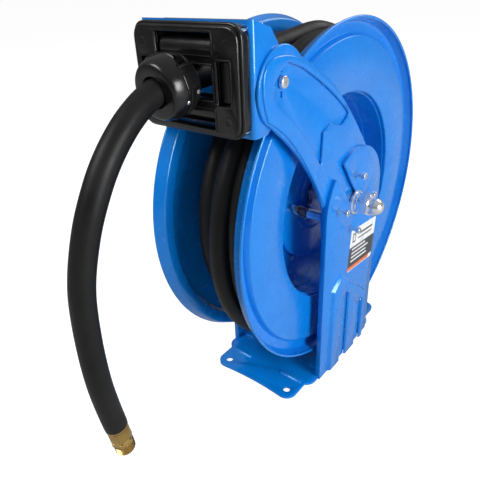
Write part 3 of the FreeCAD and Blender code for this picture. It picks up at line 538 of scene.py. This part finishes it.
# ---------------------------------------------------------------- reel
def reel_flange(side, name, node):
    """Pressed flange: turned-in hole, flat ring, sunk ring and a rolled rim."""
    profile = [(57.0, 160.5), (66.8, 160.5), (68.3, 161.0), (69.0, 162.4), (69.0, 232.2),
               (68.7, 233.6), (67.9, 234.7), (61.0, 237.2), (60.2, 238.1), (60.0, 239.5),
               (60.0, 249.6), (60.3, 251.1), (61.2, 252.4), (62.4, 253.2), (71.6, 256.3),
               (72.6, 256.6), (73.4, 256.1), (74.4, 256.0), (75.4, 256.6), (76.0, 258.0),
               (75.4, 259.4), (74.0, 260.0), (72.7, 259.6), (71.4, 258.2), (61.0, 254.6),
               (59.3, 253.2), (58.5, 250.6), (58.5, 238.9), (58.9, 237.1), (60.0, 235.8),
               (66.6, 233.5), (67.4, 232.4), (67.5, 231.0), (67.5, 163.2), (66.8, 162.0),
               (57.0, 162.0)]
    metres = [(side * x / 1000, r / 1000) for x, r in profile]
    piece = turned_piece(metres, REEL_AXIS, sides=180, loop=True)
    finished(piece, name, PAINT, "reel", "blue_paint", node, smooth=50)


reel_flange(1, "right_flange", "disc_right")
reel_flange(-1, "left_flange", "disc_left")


def wound_turns():
    """The hose on the drum, from its inner end to where the free end takes over.
    Each row is turns wound so far, distance along the axis, and radius, in millimetres."""
    rows = [(0.52, -47.0, 163.0), (0.60, -48.0, 173.5), (0.72, -50.0, 176.6), (4.25, 51.5, 176.6),
            (4.42, 51.5, 181.0), (4.62, 51.5, 202.0), (4.76, 51.0, 205.6), (7.40, -26.0, 205.6),
            (7.86, -26.5, 205.9), (8.05, -20.0, 222.0), (8.25, 5.0, 234.6), (8.45, 36.0, 234.4),
            (8.62, 44.5, 230.5), (8.80, 45.5, 228.0), (9.05, 44.0, 228.6), (9.28, 38.5, 231.0),
            (9.53, 30.0, 233.6), (9.77, 17.5, 234.9), (10.0, 1.0, 236.0)]
    start_angle = math.atan2(-236.0, -30.0)
    line, turn, last = [], rows[0][0], rows[-1][0]
    for (t0, x0, r0), (t1, x1, r1) in zip(rows, rows[1:]):
        count = max(1, round((t1 - t0) * 16))
        for k in range(count):
            f = k / count
            turn, x, r = t0 + (t1 - t0) * f, x0 + (x1 - x0) * f, (r0 + (r1 - r0) * f) / 1000
            a = start_angle + 2 * math.pi * (turn - last)
            line.append((x / 1000, r * math.cos(a), AXIS_Z + r * math.sin(a)))
    return line + [(0.001, -0.030, 0.064)]


wound = tube_along("wound_hose_turns", wound_turns(), HOSE_R, order=3, bends=6)
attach(wound, "reel")
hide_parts("wound_hose")


# ---------------------------------------------------------------- roller guide
def front_sheet(outlines, thickness, edge, front_y):
    """Flat sheet in the plane of the guide, its outlines given from the guide's middle."""
    place = Matrix.Translation((0, front_y + 0.5 * thickness, GUIDE_Z)) @ FRONT
    return cut_sheet(outlines, thickness, edge, place)


def guide_frame():
    """Moulded front of the roller guide: rim, spacer, windows with lips, faint corner marks."""
    windows = [(0, 0.0378, 0.041, 0.0108), (0, -0.0378, 0.041, 0.0108),
               (0.055, 0, 0.009, 0.022), (-0.055, 0, 0.009, 0.022), (0, 0, 0.040, 0.017)]
    holes = [rounded(rectangle(*w), 0.0016) for w in windows]
    inside = rounded(rectangle(0, 0, 0.0700, 0.0505), 0.012, 8)
    rim = front_sheet([rounded(rectangle(0, 0, 0.0778, 0.0582), 0.0185, 8), inside],
                      0.0045, 0.0018, GUIDE_FACE_Y + 0.0040)
    spacer = front_sheet([rounded(rectangle(0, 0, 0.0764, 0.0566), 0.0172, 8), inside],
                         0.0110, 0.0008, GUIDE_FACE_Y + 0.0070)
    face = front_sheet([rounded(rectangle(0, 0, 0.0748, 0.0552), 0.0165, 8)] + holes,
                       0.0060, 0.0022, GUIDE_FACE_Y)
    parts = [rim, spacer, face]
    for x, z, half_x, half_z in windows:
        lip = [rounded(rectangle(x, z, half_x + 0.0022, half_z + 0.0022), 0.0032),
               rounded(rectangle(x, z, half_x + 0.0001, half_z + 0.0001), 0.0017)]
        parts.append(front_sheet(lip, 0.0016, 0.0005, GUIDE_FACE_Y - 0.0007))
        wall = [rounded(rectangle(x, z, half_x + 0.0020, half_z + 0.0020), 0.0030),
                rounded(rectangle(x, z, half_x + 0.0003, half_z + 0.0003), 0.0016)]
        parts.append(front_sheet(wall, 0.0050, 0.0004, GUIDE_FACE_Y + 0.0050))
    for x, z in ((0.060, 0.0385), (-0.060, 0.0385), (0.060, -0.0385), (-0.060, -0.0385)):
        mark = Matrix.Translation((x, GUIDE_FACE_Y, GUIDE_Z + z)) @ FRONT
        disc = [(-0.0010, 0.0001), (-0.0010, 0.0066), (0.0, 0.0064), (0.00008, 0.0060),
                (0.00008, 0.0026), (-0.0001, 0.0022), (-0.0001, 0.0001)]
        parts.append(turned_piece(disc, mark, sides=40, loop=True))
    return joined(*parts)


finished(guide_frame(), "guide_front_moulding", BLACK, "frame", "black_plastic", "roller_frame")


# ---------------------------------------------------------------- stop ball on the hose
def hose_axes(first, second, distance):
    """Placing matrix whose Z runs from the first point towards the second."""
    start, end = Vector(first), Vector(second)
    along = (end - start).normalized()
    side = Vector((0, 0, 1)).cross(along).normalized()
    up = along.cross(side)
    matrix = Matrix((side, up, along)).transposed().to_4x4()
    matrix.translation = start + along * distance
    return matrix


BALL_AXES = hose_axes((0.0006, -0.2620, 0.5157), (0.0002, -0.2935, 0.5113), 0.0076)


def stop_ball():
    """Moulded stop ball: a barrel with a flat nose, three windows, pads and bars."""
    outside = [(-0.0185, 0.0150), (-0.0185, 0.0240), (-0.0176, 0.0262), (-0.0140, 0.0296),
               (-0.0090, 0.0322), (-0.0040, 0.0336), (0.0005, 0.0340), (0.0030, 0.0340),
               (0.0034, 0.0336), (0.0042, 0.0336), (0.0046, 0.0340), (0.0095, 0.0338),
               (0.0150, 0.0330), (0.0195, 0.0317), (0.0225, 0.0302), (0.0238, 0.0292),
               (0.0246, 0.0278), (0.0251, 0.0262), (0.0257, 0.0176), (0.0255, 0.0168),
               (0.0248, 0.0162), (0.0225, 0.0158), (0.0130, 0.0154), (0.0115, 0.0150)]
    barrel = turned_piece(outside, Matrix(), sides=96, loop=True)
    for degrees in (-36, 84, 204):
        clear_selection()
        bpy.ops.mesh.primitive_cone_add(vertices=3, radius1=0.0110, radius2=0.0110, depth=0.014)
        cutter = bpy.context.active_object
        eased(cutter, 0.0026, 4, 50)
        turn = Matrix.Rotation(math.radians(degrees), 4, "Z")
        lay = (Matrix.Translation((0, 0.0320, 0.0015)) @ Matrix.Rotation(math.radians(-90), 4, "X")
               @ Matrix.Rotation(math.radians(-30), 4, "Z") @ Matrix.Diagonal((1.05, 0.75, 1, 1)))
        placed(cutter, turn @ lay)
        closed_up(cutter)
        modified(barrel, "BOOLEAN", operation="DIFFERENCE", object=cutter, solver="EXACT")
        bpy.data.objects.remove(cutter)
    parts = [barrel]
    for degrees in (-76, 44, 164):
        turn = Matrix.Rotation(math.radians(degrees), 4, "Z")
        pad = cut_sheet([rounded(rectangle(0, 0, 0.0075, 0.0095), 0.0022)], 0.0050, 0.0010,
                        turn @ Matrix.Translation((0, 0.0326, 0.0005))
                        @ Matrix.Rotation(math.radians(-90), 4, "X"))
        parts.append(pad)
        bar = cut_sheet([rounded(rectangle(0, 0, 0.0014, 0.0120), 0.0010)], 0.0040, 0.0008,
                        turn @ Matrix.Rotation(math.radians(26), 4, "Z")
                        @ Matrix.Translation((0, 0.0332, -0.0030))
                        @ Matrix.Rotation(math.radians(-90), 4, "X"))
        parts.append(bar)
    ball = joined(*parts)
    return placed(ball, BALL_AXES)


def ball_screws():
    """Two bright clamp screws sunk in the ball's side."""
    parts = []
    for degrees, along in ((-100, -0.0060), (-112, 0.0085)):
        turn = Matrix.Rotation(math.radians(degrees), 4, "Z")
        lay = (turn @ Matrix.Translation((0, 0.0333, along))
               @ Matrix.Rotation(math.radians(-90), 4, "X"))
        head = turned_piece([(-0.002, 0.0022), (0.0004, 0.0022), (0.0009, 0.0017),
                             (0.0009, 0.0010), (0.0001, 0.0008)], lay, sides=24)
        parts.append(head)
    return placed(joined(*parts), BALL_AXES)


ball = finished(stop_ball(), "stop_ball", BLACK, "frame", "black_plastic", "stopper_upper",
                "stopper_lower", smooth=40)
screws = finished(ball_screws(), "stop_ball_screws", ZINC, "frame", "zinc", "stopper_screws")


# ---------------------------------------------------------------- hose end
TIP_AXES = hose_axes((-0.005, -0.425, 0.187), TIP, 0.0)
TIP_AXES.translation = Vector(TIP)


def male_end():
    """Turned brass end: a seam ring, spanner flats and a threaded nose."""
    profile = [(0.0220, 0.0090), (0.0220, 0.0126), (0.0224, 0.0130), (0.0240, 0.0130),
               (0.0244, 0.0126), (0.0246, 0.0118), (0.0316, 0.0116), (0.0322, 0.0124)]
    for k in range(7):
        crest = 0.0328 + 0.0018 * k
        profile += [(crest, 0.0131), (crest + 0.0004, 0.0131), (crest + 0.0009, 0.0121),
                    (crest + 0.0013, 0.0121)]
    profile += [(0.0454, 0.0128), (0.0460, 0.0120), (0.0460, 0.0088), (0.0452, 0.0080),
                (0.0225, 0.0080)]
    nose = turned_piece(profile, TIP_AXES, sides=72, loop=True)
    clear_selection()
    bpy.ops.mesh.primitive_cylinder_add(vertices=6, radius=0.01443, depth=0.0066)
    flats = bpy.context.active_object
    placed(flats, TIP_AXES @ Matrix.Translation((0, 0, 0.0279)))
    eased(flats, 0.0007, 2)
    return joined(nose, flats)


fitting = finished(male_end(), "brass_male_end", BRASS, "frame", "brass", "end_fitting")


# ---------------------------------------------------------------- data label
def label_piece():
    """Printed film on the right stand: pale head, dark panel, orange foot, all plain bars."""
    low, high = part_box("label_plate")
    middle = (low + high) / 2
    side_on = Matrix(((0, 0, 1, 0), (1, 0, 0, 0), (0, 1, 0, 0), (0, 0, 0, 1)))
    base = (Matrix.Translation((low.x, middle.y, middle.z)) @ side_on
            @ Matrix.Rotation(math.radians(-6.0), 4, "Z"))
    pale, dark, orange = 0, 1, 2
    marks = [(pale, 0.0, 0.0, 0.0450, 0.0375, 0.0), (dark, 0.0, -0.0120, 0.0450, 0.0180, 1.0),
             (orange, -0.0060, -0.0330, 0.0390, 0.0032, 1.0)]
    for k, half in enumerate((0.024, 0.030, 0.027, 0.029)):
        marks.append((pale, half - 0.036, 0.0010 - 0.0072 * k, half, 0.0014, 2.0))
    marks += [(dark, 0.010, 0.0245, 0.024, 0.0018, 1.0), (dark, 0.008, 0.0165, 0.026, 0.0012, 1.0),
              (dark, -0.032, 0.0215, 0.0055, 0.0080, 1.0),
              (pale, -0.032, 0.0215, 0.0030, 0.0052, 2.0)]
    parts = []
    for colour, x, y, half_x, half_y, layer in marks:
        thickness = 0.00020 if layer == 0 else 0.00006
        lift = 0.0001 if layer == 0 else 0.00017 + 0.00006 * layer
        corner = 0.004 if layer == 0 else 0.0006
        place = base @ Matrix.Translation((0, 0, lift))
        bar = cut_sheet([rounded(rectangle(x, y, half_x, half_y), corner)], thickness,
                        thickness * 0.2, place)
        bar.data.materials.clear()
        for material in (LABEL, LABEL_DARK, LABEL_ORANGE):
            bar.data.materials.append(material)
        for face in bar.data.polygons:
            face.material_index = colour
        parts.append(bar)
    return joined(*parts)


label = label_piece()
label.name = "data_label"
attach(label, "frame")
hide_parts("label_plate")


# ---------------------------------------------------------------- floor and light
def place_floor():
    """Pale studio floor."""
    bpy.ops.object.select_all(action="DESELECT")
    bpy.ops.mesh.primitive_plane_add(size=160.0, location=(0, 0, -0.0005))
    floor = bpy.context.active_object
    floor.name = "studio_floor"
    paper = finish("pale_floor", (0.50, 0.50, 0.50), (0.53, 0.53, 0.53), (0.5, 0.5, 0.5),
                   (0.7, 0.8), wear=0.0, dust=0.0, bump=0.0)
    tree = paper.node_tree
    lit = put(tree, "Emission", {"Color": (1.0, 1.0, 1.0, 1.0), "Strength": 0.80})
    both = put(tree, "AddShader", {0: tree.nodes["Principled BSDF"].outputs[0], 1: lit.outputs[0]})
    shown = put(tree, "MixShader", {0: put(tree, "LightPath").outputs["Is Camera Ray"],
                                    1: tree.nodes["Principled BSDF"].outputs[0],
                                    2: both.outputs[0]})
    tree.links.new(shown.outputs[0], tree.nodes["Material Output"].inputs["Surface"])
    dress(floor, paper)


def softbox(name, place, aim, size, power):
    """Square area light aimed at a point."""
    data = bpy.data.lights.new(name, "AREA")
    data.shape = "SQUARE"
    data.size = size
    data.energy = power
    lamp = bpy.data.objects.new(name, data)
    lamp.location = place
    lamp.rotation_euler = (Vector(place) - Vector(aim)).to_track_quat("Z", "Y").to_euler()
    bpy.context.scene.collection.objects.link(lamp)


place_floor()
softbox("key_softbox", (-1.0, -2.0, 2.3), (0, 0, 0.3), 1.2, 40.0)
softbox("side_softbox", (2.7, -0.3, 0.9), (0, 0, 0.3), 1.3, 70.0)
softbox("back_softbox", (0.6, 2.0, 2.0), (0, 0, 0.3), 1.5, 16.0)


def make_studio():
    """White surround for the camera, and a dimmer one, brighter overhead, for light and gloss."""
    world = bpy.data.worlds.new("studio")
    world.use_nodes = True
    tree = world.node_tree
    back = tree.nodes["Background"]
    back.inputs["Color"].default_value = (1.0, 1.0, 1.0, 1.0)
    back.inputs["Strength"].default_value = 1.0
    height = put(tree, "SeparateXYZ", {0: put(tree, "TexCoord").outputs["Generated"]})
    dim = put(tree, "MapRange", {"Value": height.outputs["Z"], "From Min": -0.2, "From Max": 0.9,
                                 "To Min": 0.08, "To Max": 0.50}).outputs["Result"]
    soft = put(tree, "Background", {"Strength": dim})
    which = put(tree, "LightPath").outputs["Is Camera Ray"]
    mixed = put(tree, "MixShader", {0: which, 1: soft.outputs[0], 2: back.outputs[0]})
    tree.links.new(mixed.outputs[0], tree.nodes["World Output"].inputs["Surface"])
    bpy.context.scene.world = world
    bpy.context.scene.view_settings.view_transform = "Standard"


make_studio()
